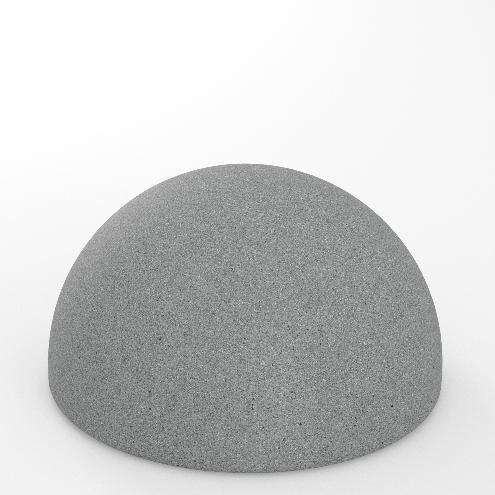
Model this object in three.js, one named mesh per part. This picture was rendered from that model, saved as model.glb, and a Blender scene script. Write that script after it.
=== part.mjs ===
// Granite dome: a half-ball of grey, fine-grained granite, worked from one block to stand on paving.
// It is one solid piece of stone. Millimetres, +Z up, origin at the middle of the sawn underside.
import * as THREE from 'three';

// Driving dimensions
const DIAMETER = 500; // across the stone at its widest
const HEIGHT = 280; // from the sawn underside to the crown
const EDGE_RADIUS = 13; // rounding where the side meets the underside

// How finely the stone is stepped
const TURN_SEGMENTS = 96; // all the way round
const CROWN_STEPS = 30; // from the upright band to the crown
const EDGE_STEPS = 6; // along the rounded lower edge

// Grey granite with a finely dressed, unpolished skin
const GRANITE_COLOUR = 0x8e8f8f;
const GRANITE_ROUGHNESS = 0.8;

// Worked out from the driving dimensions
const BALL_RADIUS = DIAMETER / 2;
const BAND_HEIGHT = HEIGHT - BALL_RADIUS; // the ball's centre stands this high, on a short upright band
const QUARTER_TURN = Math.PI / 2;

// Points along a quarter circle about (centreX, centreY), from startAngle on.
function quarterCircle(centreX, centreY, radius, startAngle, steps) {
  const endAngle = startAngle + QUARTER_TURN;
  return new THREE.EllipseCurve(centreX, centreY, radius, radius, startAngle, endAngle).getPoints(steps);
}

// Half the stone's outline, from the middle of the underside out and up to the crown: a flat base,
// a rounded lower edge, a short upright band and a quarter circle. It starts and ends on the axis.
function halfOutline() {
  const baseCentre = new THREE.Vector2(0, 0);
  const flatRadius = BALL_RADIUS - EDGE_RADIUS;
  const lowerEdge = quarterCircle(flatRadius, EDGE_RADIUS, EDGE_RADIUS, -QUARTER_TURN, EDGE_STEPS);
  const shoulder = quarterCircle(0, BAND_HEIGHT, BALL_RADIUS, 0, CROWN_STEPS);
  shoulder[CROWN_STEPS].x = 0;
  return [baseCentre, ...lowerEdge, ...shoulder];
}

function graniteDome() {
  const granite = new THREE.MeshStandardMaterial({
    color: GRANITE_COLOUR,
    roughness: GRANITE_ROUGHNESS,
    metalness: 0,
  });
  const dome = new THREE.Mesh(new THREE.LatheGeometry(halfOutline(), TURN_SEGMENTS), granite);
  dome.name = 'granite_dome';
  dome.rotation.x = QUARTER_TURN; // the lathe turns about +Y, and the stone stands along +Z
  return dome;
}

const part = new THREE.Group();
part.add(graniteDome());

export default part;
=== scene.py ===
"""A grey granite half-ball, finely dressed all over and sawn flat underneath, on a pale studio floor.

The stone's size comes from its CAD solid. Its skin is one closed surface with the low relief that dressing
leaves, and its colour is worked out from mineral grains, with painted shade that darkens it low down and
one painted highlight low on its front, so both look the same from every side.
Lengths are in metres.
"""

import math

import bpy
import numpy as np
from mathutils import Matrix, Vector


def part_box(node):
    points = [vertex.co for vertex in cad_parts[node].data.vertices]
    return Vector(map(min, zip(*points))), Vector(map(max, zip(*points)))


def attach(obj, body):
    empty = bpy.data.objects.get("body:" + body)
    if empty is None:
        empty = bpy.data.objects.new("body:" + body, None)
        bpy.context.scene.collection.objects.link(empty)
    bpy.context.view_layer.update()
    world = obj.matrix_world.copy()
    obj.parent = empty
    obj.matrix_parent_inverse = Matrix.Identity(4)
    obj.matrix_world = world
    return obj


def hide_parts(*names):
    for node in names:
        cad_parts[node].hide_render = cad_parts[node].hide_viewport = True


bl_info = {
    "name": "Granite Dome",
    "version": (1, 0, 0),
    "blender": (4, 5, 0),
    "location": "3D View > Sidebar > Granite Dome",
    "description": "A dressed granite half-ball and the pale studio that it stands in",
    "category": "Add Mesh",
}

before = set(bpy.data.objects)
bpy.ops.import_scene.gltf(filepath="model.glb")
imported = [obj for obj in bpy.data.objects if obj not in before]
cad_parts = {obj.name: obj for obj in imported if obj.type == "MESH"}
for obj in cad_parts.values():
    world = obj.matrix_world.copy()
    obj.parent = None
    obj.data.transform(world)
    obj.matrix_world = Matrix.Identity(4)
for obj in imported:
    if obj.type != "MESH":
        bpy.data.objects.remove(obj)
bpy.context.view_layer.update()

DOME = "granite_dome"
DOME_LOW, DOME_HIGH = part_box(DOME)
BALL_RADIUS = (DOME_HIGH.x - DOME_LOW.x) / 2
BAND_HEIGHT = DOME_HIGH.z - BALL_RADIUS  # the ball's centre stands this high
MM = 0.001
PHOTO_SIDE = 495  # pixels, across and down


class DomeShape(bpy.types.PropertyGroup):
    """Sizes of the stone's surface."""

    edge_radius: bpy.props.FloatProperty(
        name="Edge radius", description="Rounding between the side and the underside",
        default=13 * MM, min=2 * MM, max=25 * MM, unit="LENGTH")
    relief: bpy.props.FloatProperty(
        name="Relief", description="Most that the dressed skin dips below its outer size",
        default=0.5 * MM, min=0, max=3 * MM, unit="LENGTH")
    dent_spacing: bpy.props.FloatProperty(
        name="Dent spacing", description="Distance between the shallow dents of the dressing tool",
        default=8 * MM, min=4 * MM, max=40 * MM, unit="LENGTH")
    ring_cells: bpy.props.IntProperty(
        name="Ring cells", description="Rings of mesh cells from the crown to the underside",
        default=148, min=24, max=150)


class GraniteFinish(bpy.types.PropertyGroup):
    """Colours and sizes of the minerals."""

    feldspar: bpy.props.FloatVectorProperty(
        name="Feldspar", description="The pale grains", subtype="COLOR", default=(0.412, 0.424, 0.418))
    quartz: bpy.props.FloatVectorProperty(
        name="Quartz", description="The mid-grey grains", subtype="COLOR", default=(0.268, 0.277, 0.2725))
    mica: bpy.props.FloatVectorProperty(
        name="Mica", description="The dark flakes", subtype="COLOR", default=(0.0985, 0.1015, 0.100))
    feldspar_share: bpy.props.FloatProperty(
        name="Feldspar share", description="Part of the grains that are feldspar",
        default=0.13, min=0, max=1, subtype="FACTOR")
    mica_share: bpy.props.FloatProperty(
        name="Mica share", description="Part of the grains that are mica",
        default=0.05, min=0, max=1, subtype="FACTOR")
    grain_size: bpy.props.FloatProperty(
        name="Grain size", description="Usual width of a grain",
        default=0.9 * MM, min=0.3 * MM, unit="LENGTH")
    fleck_spacing: bpy.props.FloatProperty(
        name="Fleck spacing", description="Usual distance between the larger dark flecks",
        default=11 * MM, min=2 * MM, unit="LENGTH")


class StudioSetup(bpy.types.PropertyGroup):
    """The camera, the floor and the lights."""

    camera_distance: bpy.props.FloatProperty(
        name="Camera distance", description="From the ball's centre, along the line of sight",
        default=2.737, min=1, unit="LENGTH")
    camera_elevation: bpy.props.FloatProperty(
        name="Camera elevation", description="Angle of the line of sight below level",
        default=math.radians(23.07), subtype="ANGLE")
    camera_roll: bpy.props.FloatProperty(
        name="Camera roll", description="Tilt of the camera about its line of sight",
        default=math.radians(0.91), subtype="ANGLE")
    lens: bpy.props.FloatProperty(
        name="Lens", description="Focal length for a 36 mm wide picture",
        default=156.5, min=10, unit="CAMERA")
    centre_x: bpy.props.FloatProperty(
        name="Centre across", description="Where the ball's centre shows, in pixels from the left",
        default=245.29, subtype="PIXEL")
    centre_y: bpy.props.FloatProperty(
        name="Centre down", description="Where the ball's centre shows, in pixels from the top",
        default=360.09, subtype="PIXEL")
    floor_colour: bpy.props.FloatVectorProperty(
        name="Floor", description="The pale floor", subtype="COLOR", default=(0.65, 0.65, 0.65))
    floor_glow: bpy.props.FloatProperty(
        name="Floor glow", description="Light that the floor gives off, as a light table does",
        default=0.2, min=0)
    sky_strength: bpy.props.FloatProperty(
        name="Surrounding light", description="Even light from all round",
        default=0.745, min=0)
    back_power: bpy.props.FloatProperty(
        name="Back light", description="Softbox low behind the stone, on its left",
        default=34, min=0, unit="POWER")
    top_power: bpy.props.FloatProperty(
        name="Top light", description="Softbox straight above the stone",
        default=20.5, min=0, unit="POWER")
    front_power: bpy.props.FloatProperty(
        name="Front light", description="Softbox before the stone, on its right",
        default=13.6, min=0, unit="POWER")


CROWN_SHARE = 0.87  # of the way from the crown to the underside's rim: the end of the quarter circle
BAND_SHARE = 0.91  # the end of the upright line


def meridian(share, ball, band, edge):
    """Radius, height and outward normal of the outline, for share 0 at the crown to 1 at the underside's rim.

    The outline is a quarter circle of the ball's radius about a centre at the band's height, a short upright
    line, and a quarter circle of the edge's radius. CROWN_SHARE and BAND_SHARE say where one stretch ends and
    the next begins; within a stretch, share runs evenly along its length.
    """
    turn = np.clip(share / CROWN_SHARE, 0, 1) * (math.pi / 2)
    drop = np.clip((share - CROWN_SHARE) / (BAND_SHARE - CROWN_SHARE), 0, 1) * (band - edge)
    curl = np.clip((share - BAND_SHARE) / (1 - BAND_SHARE), 0, 1) * (math.pi / 2)
    radius = ball * np.sin(turn) - edge * (1 - np.cos(curl))
    height = band + ball * np.cos(turn) - drop - edge * np.sin(curl)
    normal_out = np.where(curl > 0, np.cos(curl), np.sin(turn))
    normal_up = np.where(curl > 0, -np.sin(curl), np.cos(turn))
    return radius, height, normal_out, normal_up


def round_grid(rings):
    """Two parameters of a square grid bent into a disc: each point's share of the radius, and its angle.

    A point (a, b) of the square from -1 to 1 lies on the square ring max(|a|, |b|), which becomes a circle.
    Along a ring the angle grows evenly, so that the cells stay near one size and there is no pole.
    """
    side = np.linspace(-1, 1, 2 * rings + 1)
    a, b = np.meshgrid(side, side, indexing="ij")
    wide = np.abs(a) >= np.abs(b)
    longer = np.where(wide, a, b)
    shorter = np.where(wide, b, a)
    bend = np.divide(shorter, longer, out=np.zeros_like(a), where=longer != 0) * (math.pi / 4)
    start = np.where(longer < 0, math.pi, 0)
    angle = np.where(wide, start + bend, start + math.pi / 2 - bend)
    return np.abs(longer), angle


LATTICE_CELLS = 64  # before the pattern repeats
DENT_LATTICE_CELLS = 32
DENT_REACH_SQUARED = 0.5  # with the reach in lattice cells
FAR_AWAY = 9.0  # farther, squared and in cells, than any nearest dent


def value_noise(points, cell, seed):
    """Smooth noise from -1 to 1.

    Random heights on a cubic lattice are blended across each cell by a quintic step.
    """
    table = np.random.default_rng(seed).uniform(-1, 1, (LATTICE_CELLS,) * 3)
    place = points / cell
    low = np.floor(place).astype(int)
    part = place - low
    blend = part ** 3 * (part * (part * 6 - 15) + 10)
    total = np.zeros(len(points))
    for corner in np.ndindex(2, 2, 2):
        at = (low + corner) % LATTICE_CELLS
        weight = np.prod(np.where(corner, blend, 1 - blend), axis=1)
        total += weight * table[at[:, 0], at[:, 1], at[:, 2]]
    return total


def dents(points, spacing, seed):
    """Depth from 0 to 1 of round dents, one at a random place in each lattice cell.

    It is 1 - (distance / reach) squared, with the distance to the nearest dent.
    """
    places = np.random.default_rng(seed).uniform(0, 1, (DENT_LATTICE_CELLS,) * 3 + (3,))
    place = points / spacing
    low = np.floor(place).astype(int)
    nearest = np.full(len(points), FAR_AWAY)
    for step in np.ndindex(3, 3, 3):
        cell = low + np.array(step) - 1
        at = cell % DENT_LATTICE_CELLS
        centre = cell + places[at[:, 0], at[:, 1], at[:, 2]]
        nearest = np.minimum(nearest, np.sum((place - centre) ** 2, axis=1))
    return np.clip(1 - nearest / DENT_REACH_SQUARED, 0, 1)


SWELL_SIZE, SWELL_PART, SWELL_SEED = 60 * MM, 0.35, 11
ROUGH_SIZE, ROUGH_PART, ROUGH_SEED = 7 * MM, 0.30, 12
DENT_PART, DENT_SEED = 0.35, 13


def skin_depth(points, shape):
    """How far the dressed skin lies below its outer size.

    It is the relief times a weighted sum of three patterns from 0 to 1: broad swells, a fine roughness and
    the dents of the tool.
    """
    swell = 0.5 + 0.5 * value_noise(points, SWELL_SIZE, SWELL_SEED)
    rough = 0.5 + 0.5 * value_noise(points, ROUGH_SIZE, ROUGH_SEED)
    tooled = dents(points, shape.dent_spacing, DENT_SEED)
    return shape.relief * (SWELL_PART * swell + ROUGH_PART * rough + DENT_PART * tooled)


def dome_surface(shape):
    """Points, quads and fan triangles of the whole closed stone, and the skin's two parameters from 0 to 1.

    The skin is round_grid carried along the meridian, with skin_depth taken off along the normal and faded
    out at the underside's rim. The underside is a fan from its middle to the skin's last ring.
    """
    rings = shape.ring_cells
    share, angle = round_grid(rings)
    radius, height, out, up = meridian(share, BALL_RADIUS, BAND_HEIGHT, shape.edge_radius)
    across, along = np.cos(angle), np.sin(angle)
    points = np.stack([radius * across, radius * along, height], -1).reshape(-1, 3)
    normals = np.stack([out * across, out * along, up], -1).reshape(-1, 3)
    fade = np.clip((1 - share.reshape(-1)) / (1 - BAND_SHARE), 0, 1)
    points -= normals * (skin_depth(points, shape) * fade)[:, None]

    count = 2 * rings + 1
    index = np.arange(count * count).reshape(count, count)
    quads = np.stack([index[:-1, :-1], index[1:, :-1], index[1:, 1:], index[:-1, 1:]], -1).reshape(-1, 4)
    rim = np.concatenate([index[:-1, 0], index[-1, :-1], index[:0:-1, -1], index[0, :0:-1]])
    middle = len(points)
    points = np.vstack([points, [[0, 0, 0]]])
    fan = np.stack([np.roll(rim, -1), rim, np.full(len(rim), middle)], -1)
    steps = np.linspace(0, 1, count)
    square = np.stack(np.meshgrid(steps, steps, indexing="ij"), -1).reshape(-1, 2)
    return points, quads, fan, square


SKIN_SHARE = 0.82  # of the flat map's side, for the skin
HALF_DISC_SHARE = 0.33  # of its side, for the underside's width
MAP_MARGIN = 0.004


def flat_map(points, quads, fan, square, flat_radius):
    """A place on a flat unit square for each corner of each face, for baking.

    The skin keeps its square grid, shrunk to SKIN_SHARE of the side. The underside is cut through its middle,
    and one half disc lies beside the skin and the other above it.
    """
    skin = MAP_MARGIN + square[quads.reshape(-1)] * SKIN_SHARE
    corners = points[fan.reshape(-1)][:, :2] / flat_radius
    left = np.repeat(points[fan[:, :2]][:, :, 0].mean(axis=1) < 0, 3)
    half = HALF_DISC_SHARE / 2
    start = SKIN_SHARE + 2 * MAP_MARGIN
    beside = np.stack([start - corners[:, 0] * half, MAP_MARGIN + half + corners[:, 1] * half], -1)
    above = np.stack([MAP_MARGIN + half + corners[:, 1] * half, start + corners[:, 0] * half], -1)
    return np.vstack([skin, np.where(left[:, None], beside, above)])


def dome_mesh(shape):
    """The stone's mesh: a smooth skin in the first finish and a flat underside in the second."""
    points, quads, fan, square = dome_surface(shape)
    mesh = bpy.data.meshes.new(DOME)
    mesh.from_pydata(points.tolist(), [], quads.tolist() + fan.tolist())
    faces = np.arange(len(quads) + len(fan))
    mesh.polygons.foreach_set("material_index", (faces >= len(quads)).astype(np.int32))
    places = flat_map(points, quads, fan, square, BALL_RADIUS - shape.edge_radius)
    mesh.uv_layers.new(name="OFBake").data.foreach_set("uv", places.reshape(-1).astype(np.float32))
    mesh.shade_smooth()
    return mesh


def add(tree, kind, sockets=None, **settings):
    """Adds a shader node. sockets names its inputs, each with a value or with the output to link to it."""
    node = tree.nodes.new("ShaderNode" + kind)
    for name, value in settings.items():
        setattr(node, name, value)
    for name, value in (sockets or {}).items():
        if isinstance(value, bpy.types.NodeSocket):
            tree.links.new(value, node.inputs[name])
        else:
            node.inputs[name].default_value = value
    return node


def math_node(tree, operation, *values):
    """The result of one sum, product or other operation on numbers or outputs."""
    return add(tree, "Math", dict(enumerate(values)), operation=operation).outputs[0]


def vector_node(tree, operation, *values):
    """The vector that one operation on vectors gives."""
    return add(tree, "VectorMath", dict(enumerate(values)), operation=operation).outputs["Vector"]


def number_node(tree, operation, *values):
    """The number that a length, a distance or a dot product of vectors gives."""
    return add(tree, "VectorMath", dict(enumerate(values)), operation=operation).outputs["Value"]


def scaled(tree, vector, factor):
    """A vector or colour times a number."""
    return add(tree, "VectorMath", {0: vector, "Scale": factor}, operation="SCALE").outputs["Vector"]


MIX_FACTOR = 0  # where a Mix node keeps its sockets for colours
MIX_FIRST = 6
MIX_SECOND = 7
MIX_RESULT = 2


def mixed(tree, factor, first, second, way="MIX"):
    """Two colours mixed, or multiplied where way says so."""
    sockets = {MIX_FACTOR: factor, MIX_FIRST: first, MIX_SECOND: second}
    return add(tree, "Mix", sockets, data_type="RGBA", blend_type=way).outputs[MIX_RESULT]


def remap(tree, value, low, high, to_low, to_high):
    """value carried evenly from one range to another, and held at its ends."""
    sockets = {"Value": value, "From Min": low, "From Max": high, "To Min": to_low, "To Max": to_high}
    return add(tree, "MapRange", sockets).outputs[0]


def noise(tree, place, cell, detail=2.0):
    """Soft noise about 0.5, with lumps about the size of cell."""
    return add(tree, "TexNoise", {"Vector": place, "Scale": 1 / cell, "Detail": detail})


def start_group(name, inputs, outputs):
    """A node group with named sockets: inputs as (name, kind, value), outputs as (name, kind)."""
    group = bpy.data.node_groups.new(name, "ShaderNodeTree")
    for label, kind, value in inputs:
        socket = group.interface.new_socket(label, in_out="INPUT", socket_type="NodeSocket" + kind)
        if value is not None:
            socket.default_value = value
    for label, kind in outputs:
        group.interface.new_socket(label, in_out="OUTPUT", socket_type="NodeSocket" + kind)
    return group, group.nodes.new("NodeGroupInput").outputs, group.nodes.new("NodeGroupOutput").inputs


MIDDLE = (0.5, 0.5, 0.5)  # of a noise or chance colour
SOFT_RANGE = (0.3, 0.7)  # where soft noise mostly lies
BEND_GRAINS = 1.2  # how far the crystals' edges are bent, in grains
BEND_SIZE = 2  # of each bend, in grains
PATCH_SIZE = 9 * MM
PATCH_PART = 0.02  # of the grains, more or less mica from patch to patch
LOW_SHADE_PART = 0.025  # of the grains, painted shade: more mica low down and less at the crown, so the bottom is darker and the crown paler
SHADE_PART = 0.45  # most that a grain is lighter or darker than its kind
FLECK_REACH_LOW = 0.165  # radius of the largest flecks, of their spacing, at the bottom, where they are larger as painted shade
FLECK_REACH_HIGH = 0.08  # and at the crown
FLECK_POWER = 2.0  # makes small flecks commoner than large ones
FLECK_SHADE = 0.16  # of the grains under them


def mineral_group(finish):
    """Node group Mineral Grains: what mineral lies at each place of the stone, whatever its surface finish.

    The stone is filled with crystals, which are the cells of a pattern whose coordinates are bent a little.
    Chance makes each one mica, quartz or feldspar, lighter or darker than the usual of its kind. Mica is
    commoner in some patches than in others. As painted shade, mica is commoner low in the stone, and the
    larger dark flecks strewn through it are larger low down, so the bottom is darker and the crown paler.
    Height slopes each crystal its own way.
    """
    group, given, result = start_group(
        "Mineral Grains",
        [("Place", "Vector", None), ("Dust", "Float", 0.0)],
        [("Color", "Color"), ("Lightness", "Float"), ("Height", "Float")])
    place = given["Place"]
    grain = finish.grain_size

    bend = noise(group, place, BEND_SIZE * grain, detail=1.0).outputs["Color"]
    push = scaled(group, vector_node(group, "SUBTRACT", bend, MIDDLE), BEND_GRAINS * grain)
    bent = vector_node(group, "ADD", place, push)

    crystals = add(group, "TexVoronoi", {"Vector": bent, "Scale": 1 / grain})
    chance = add(group, "SeparateColor", {0: crystals.outputs["Color"]})
    patches = noise(group, place, PATCH_SIZE).outputs[0]
    patch = remap(group, patches, *SOFT_RANGE, -PATCH_PART, PATCH_PART)
    level = add(group, "SeparateXYZ", {0: place}).outputs[2]
    # Painted shade: more mica towards the bottom, so the stone is darker low down and paler at the crown
    painted_low_shade = remap(group, level, 0.0, DOME_HIGH.z, -LOW_SHADE_PART, LOW_SHADE_PART)
    mineral = math_node(group, "ADD", chance.outputs[0], math_node(group, "ADD", patch, painted_low_shade))
    ramp = add(group, "ValToRGB", {0: mineral})
    ramp.color_ramp.interpolation = "CONSTANT"
    ramp.color_ramp.elements.new(0.5)
    starts = (0.0, finish.mica_share, 1 - finish.feldspar_share)
    colours = (finish.mica, finish.quartz, finish.feldspar)
    for stop, start, colour in zip(ramp.color_ramp.elements, starts, colours):
        stop.position = start
        stop.color = (*colour, 1)
    shade = remap(group, chance.outputs[1], 0.0, 1.0, 1 - SHADE_PART, 1 + SHADE_PART)

    strewn = add(group, "TexVoronoi", {"Vector": bent, "Scale": 1 / finish.fleck_spacing})
    size = add(group, "SeparateColor", {0: strewn.outputs["Color"]})
    # Painted shade: the dark flecks grow larger towards the bottom, darkening it
    most = remap(group, level, 0.0, DOME_HIGH.z, FLECK_REACH_LOW, FLECK_REACH_HIGH)
    reach = math_node(group, "MULTIPLY", math_node(group, "POWER", size.outputs[0], FLECK_POWER), most)
    inside = math_node(group, "LESS_THAN", strewn.outputs["Distance"], reach)
    shade = math_node(group, "MULTIPLY", shade, remap(group, inside, 0.0, 1.0, 1.0, FLECK_SHADE))

    dusty = mixed(group, given["Dust"], scaled(group, ramp.outputs[0], shade), (*finish.quartz, 1))

    across = vector_node(group, "SUBTRACT", bent, crystals.outputs["Position"])
    lean = vector_node(group, "SUBTRACT", crystals.outputs["Color"], MIDDLE)
    slope = number_node(group, "DOT_PRODUCT", across, lean)

    group.links.new(dusty, result["Color"])
    group.links.new(mineral, result["Lightness"])
    group.links.new(slope, result["Height"])
    return group


MICA_ROUGHNESS = 0.5
FELDSPAR_ROUGHNESS = 0.85
GLOSS_LEVEL = 0.12  # a dressed face sends back little light unscattered


def granite_finish(name, minerals, dust, worked):
    """A material of the minerals under a film of dust, from 0 to 1.

    Its surface is finished by worked: a function that returns height and tint.
    """
    material = bpy.data.materials.new(name)
    material.use_nodes = True
    tree = material.node_tree
    tree.nodes.clear()
    place = add(tree, "TexCoord").outputs["Object"]
    stone = add(tree, "Group", {"Place": place, "Dust": dust}, node_tree=minerals)
    # worked gives height and tint; the dressed skin's tint carries a painted highlight
    height, tint = worked(tree, place, stone)
    lightness = stone.outputs["Lightness"]
    bump = add(tree, "Bump", {"Strength": 1.0, "Distance": 1.0, "Height": height})
    shader = add(tree, "BsdfPrincipled", {
        "Base Color": mixed(tree, 1.0, stone.outputs["Color"], tint, "MULTIPLY"),
        "Roughness": remap(tree, lightness, 0.0, 1.0, MICA_ROUGHNESS, FELDSPAR_ROUGHNESS),
        "Specular IOR Level": GLOSS_LEVEL,
        "Normal": bump.outputs[0],
    })
    add(tree, "OutputMaterial", {"Surface": shader.outputs[0]})
    return material


GRAIN_SLOPE = 0.25
PIT_SIZE = 1.5 * MM
PIT_DEPTH = 0.06 * MM
CLOUD_SIZE = 45 * MM
CLOUD_RANGE = (0.25, 0.75)
CLOUD_PART = 0.02  # most that a cloud is lighter or darker
PAINTED_HIGHLIGHT_MIDDLE = (0.035, -0.245, 0.085)  # a painted highlight: a paler oval low on the stone's front, the soft reflection of a front light
PAINTED_HIGHLIGHT_OVAL = (1, 1, 0.6)  # makes the patch taller than wide
PAINTED_HIGHLIGHT_REACH = 0.085
PAINTED_HIGHLIGHT_LIFT = 0.11


def dressed(tree, place, stone):
    """The dressed skin: each grain broken off at its own slope, over fine pits.

    Broad clouds tint it a little. One paler oval that fades out evenly, low on the front, is a painted
    highlight, the soft reflection of a front light.
    """
    grains = math_node(tree, "MULTIPLY", stone.outputs["Height"], GRAIN_SLOPE)
    pits = noise(tree, place, PIT_SIZE, detail=3.0).outputs[0]
    height = math_node(tree, "ADD", grains, math_node(tree, "MULTIPLY", pits, PIT_DEPTH))
    clouds = noise(tree, place, CLOUD_SIZE, detail=3.0).outputs[0]
    cloud = remap(tree, clouds, *CLOUD_RANGE, 1 - CLOUD_PART, 1 + CLOUD_PART)
    # Painted highlight: a paler oval low on the front, the soft reflection of a front light
    from_middle = vector_node(tree, "SUBTRACT", place, PAINTED_HIGHLIGHT_MIDDLE)
    away = number_node(tree, "LENGTH", vector_node(tree, "MULTIPLY", from_middle, PAINTED_HIGHLIGHT_OVAL))
    pale = remap(tree, away, 0.0, PAINTED_HIGHLIGHT_REACH, 1 + PAINTED_HIGHLIGHT_LIFT, 1.0)
    pale.node.interpolation_type = "SMOOTHSTEP"
    return height, math_node(tree, "MULTIPLY", cloud, pale)


SAW_CENTRE = (0.21, -0.62, 0)
SAW_SPACING = 6 * MM
SAW_DEPTH = 0.1 * MM
SAW_DARK = 0.93
SAW_PALE = 1.13
SAW_DUST = 0.25


def sawn(tree, place, stone):
    """The sawn underside: shallow arcs that the blade left, about one far-off centre, which also tint it."""
    arm = number_node(tree, "DISTANCE", place, SAW_CENTRE)
    sockets = {"W": arm, "Scale": 1 / SAW_SPACING, "Detail": 2.0}
    arcs = add(tree, "TexNoise", sockets, noise_dimensions="1D").outputs[0]
    height = math_node(tree, "MULTIPLY", arcs, SAW_DEPTH)
    return height, remap(tree, arcs, *SOFT_RANGE, SAW_DARK, SAW_PALE)


class GRANITE_OT_make_dome(bpy.types.Operator):
    """Make the granite dome around its CAD solid"""

    bl_idname = "granite.make_dome"
    bl_label = "Make Granite Dome"

    def execute(self, context):
        scene = context.scene
        dome = bpy.data.objects.new("dressed_dome", dome_mesh(scene.dome_shape))
        scene.collection.objects.link(dome)
        minerals = mineral_group(scene.granite_finish)
        dome.data.materials.append(granite_finish("dressed granite", minerals, 0.0, dressed))
        dome.data.materials.append(granite_finish("sawn granite", minerals, SAW_DUST, sawn))
        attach(dome, "root")
        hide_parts(DOME)
        return {"FINISHED"}


FILM_WIDTH = 36  # millimetres


def place_camera(scene, studio):
    """A camera that looks down at the stone, with its line of sight through the picture's middle."""
    down = studio.camera_elevation
    right = Vector((1, 0, 0))
    sight = Vector((0, math.cos(down), -math.sin(down)))
    up = right.cross(sight)
    turned = Matrix.Rotation(-studio.camera_roll, 3, sight)
    right, up = turned @ right, turned @ up
    camera = bpy.data.cameras.new("camera")
    camera.sensor_width = FILM_WIDTH
    camera.lens = studio.lens
    pixel = studio.camera_distance * camera.sensor_width / (studio.lens * PHOTO_SIDE)
    middle = PHOTO_SIDE / 2
    ball_centre = Vector((0, 0, BAND_HEIGHT))
    aim_across = right * ((middle - studio.centre_x) * pixel)
    aim_up = up * ((studio.centre_y - middle) * pixel)
    aim = ball_centre + aim_across + aim_up
    placed = bpy.data.objects.new("camera", camera)
    scene.collection.objects.link(placed)
    axes = Matrix((right, up, -sight)).transposed()
    placed.matrix_world = Matrix.Translation(aim - sight * studio.camera_distance) @ axes.to_4x4()
    scene.camera = placed


SOFTBOX_REACH = 3.0
SOFTBOX_SIDE = 1.2
BACK_PLACE = (-30, 14)  # bearing and height in degrees, as seen from the stone
TOP_PLACE = (0, 88)
FRONT_PLACE = (150, 20)
BACK_TINT = (1.0, 0.95, 0.977)  # faintly rosy
TOP_TINT = (1.0, 0.975, 0.988)
WHITE = (1, 1, 1)


def softbox(scene, name, place, power, tint):
    """A square soft light, SOFTBOX_REACH from the stone and turned to it.

    place is its bearing, clockwise from +Y, and its height, both in degrees.
    """
    bearing, height_angle = (math.radians(angle) for angle in place)
    out = math.cos(height_angle)
    towards = Vector((math.sin(bearing) * out, math.cos(bearing) * out, math.sin(height_angle)))
    light = bpy.data.lights.new(name, "AREA")
    light.shape = "SQUARE"
    light.size = SOFTBOX_SIDE
    light.energy = power
    light.color = tint
    placed = bpy.data.objects.new(name, light)
    scene.collection.objects.link(placed)
    placed.location = Vector((0, 0, DOME_HIGH.z / 2)) + towards * SOFTBOX_REACH
    placed.rotation_euler = (-towards).to_track_quat("-Z", "Y").to_euler()


FLOOR_REACH = 12
FLOOR_GAP = 0.2 * MM  # keeps the floor's face clear of the stone's underside
FLOOR_ROUGHNESS = 0.9


def lay_floor(scene, studio):
    """A plain square floor just under the stone, which also gives off a little light."""
    reach = FLOOR_REACH
    corners = [(-reach, -reach), (reach, -reach), (reach, reach), (-reach, reach)]
    mesh = bpy.data.meshes.new("floor")
    mesh.from_pydata([(x, y, -FLOOR_GAP) for x, y in corners], [], [(0, 1, 2, 3)])
    floor = bpy.data.objects.new("floor", mesh)
    scene.collection.objects.link(floor)
    pale = bpy.data.materials.new("pale floor")
    pale.use_nodes = True
    shader = pale.node_tree.nodes["Principled BSDF"].inputs
    shader["Base Color"].default_value = (*studio.floor_colour, 1)
    shader["Roughness"].default_value = FLOOR_ROUGHNESS
    shader["Emission Color"].default_value = (*WHITE, 1)
    shader["Emission Strength"].default_value = studio.floor_glow
    mesh.materials.append(pale)


def light_all_round(scene, strength):
    """Even white light from every side."""
    world = bpy.data.worlds.new("studio")
    scene.world = world
    world.use_nodes = True
    background = world.node_tree.nodes["Background"].inputs
    background["Color"].default_value = (*WHITE, 1)
    background["Strength"].default_value = strength


PIXEL_FILTER = 0.5  # narrower than Blender's own, so that grains one pixel wide stay crisp


class GRANITE_OT_make_studio(bpy.types.Operator):
    """Lay the pale floor and set the camera and the soft lights"""

    bl_idname = "granite.make_studio"
    bl_label = "Make Studio"

    def execute(self, context):
        scene = context.scene
        studio = scene.studio_setup
        scene.view_settings.view_transform = "Standard"
        scene.cycles.use_denoising = False  # the denoiser smears such grains
        scene.cycles.filter_width = PIXEL_FILTER
        place_camera(scene, studio)
        softbox(scene, "back_softbox", BACK_PLACE, studio.back_power, BACK_TINT)
        softbox(scene, "top_softbox", TOP_PLACE, studio.top_power, TOP_TINT)
        softbox(scene, "front_softbox", FRONT_PLACE, studio.front_power, WHITE)
        lay_floor(scene, studio)
        light_all_round(scene, studio.sky_strength)
        return {"FINISHED"}


class GRANITE_PT_panel(bpy.types.Panel):
    """Lists what can be made"""

    bl_idname = "GRANITE_PT_panel"
    bl_label = "Granite Dome"
    bl_space_type = "VIEW_3D"
    bl_region_type = "UI"
    bl_category = "Granite Dome"

    def draw(self, context):
        self.layout.operator(GRANITE_OT_make_dome.bl_idname)
        self.layout.operator(GRANITE_OT_make_studio.bl_idname)


CLASSES = (
    DomeShape, GraniteFinish, StudioSetup,
    GRANITE_OT_make_dome, GRANITE_OT_make_studio, GRANITE_PT_panel)
SETTINGS = {"dome_shape": DomeShape, "granite_finish": GraniteFinish, "studio_setup": StudioSetup}


def register():
    for kind in CLASSES:
        bpy.utils.register_class(kind)
    for name, kind in SETTINGS.items():
        setattr(bpy.types.Scene, name, bpy.props.PointerProperty(type=kind))


def unregister():
    for name in SETTINGS:
        delattr(bpy.types.Scene, name)
    for kind in reversed(CLASSES):
        bpy.utils.unregister_class(kind)


def main():
    register()
    bpy.ops.granite.make_dome()
    bpy.ops.granite.make_studio()


if __name__ == "__main__":
    main()
